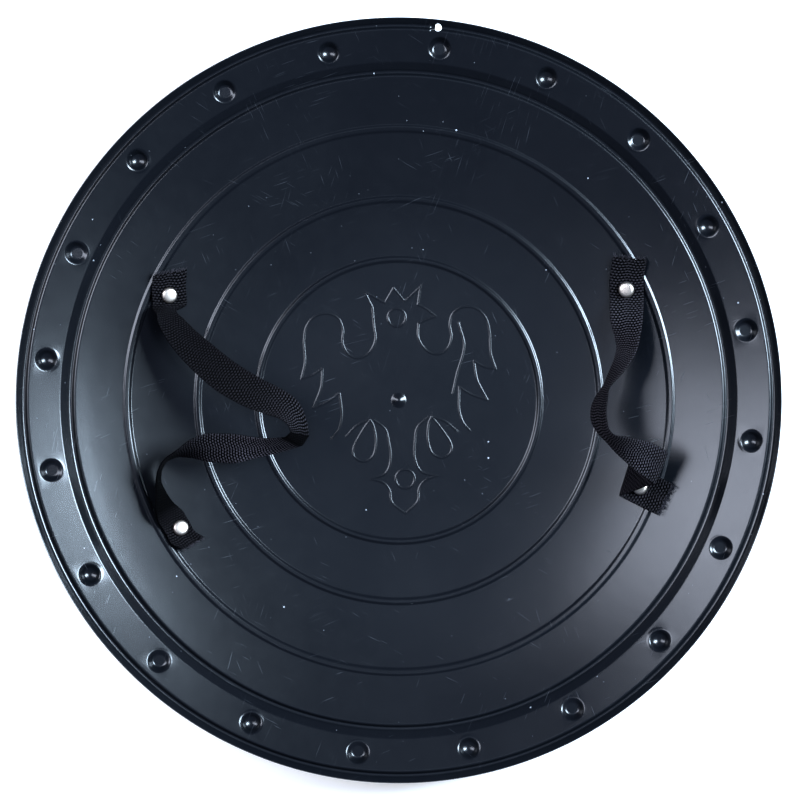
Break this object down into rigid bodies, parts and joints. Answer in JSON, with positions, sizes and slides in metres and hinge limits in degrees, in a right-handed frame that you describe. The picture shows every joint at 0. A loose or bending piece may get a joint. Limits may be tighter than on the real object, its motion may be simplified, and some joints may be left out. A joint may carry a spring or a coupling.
{
  "type": "toy round shield",
  "caption": "Thin formed plastic toy shield, round and dished, with a studded rim band, a wide loop strap for the forearm and a narrower strap for the hand.",
  "frame": {"origin": "under the middle of the dish, on the front face, where the shield lies on a level surface", "axes": "+Z out of the back towards the wearer, +Y to the top edge where the hanging hole is, +X to the hand strap's side"},
  "size_m": [0.4404, 0.4404, 0.0775],
  "materials": {
    "shell": "semi-gloss black, vacuum-formed",
    "webbing": "ribbed black polypropylene weave",
    "rivet": "bright nickel plate"
  },
  "bodies": {
    "root": {"shell": "shell", "arm_strap": "webbing", "hand_strap": "webbing", "arm_rivet_top": "rivet", "arm_rivet_bottom": "rivet", "hand_rivet_top": "rivet", "hand_rivet_bottom": "rivet"}
  },
  "joints": []
}
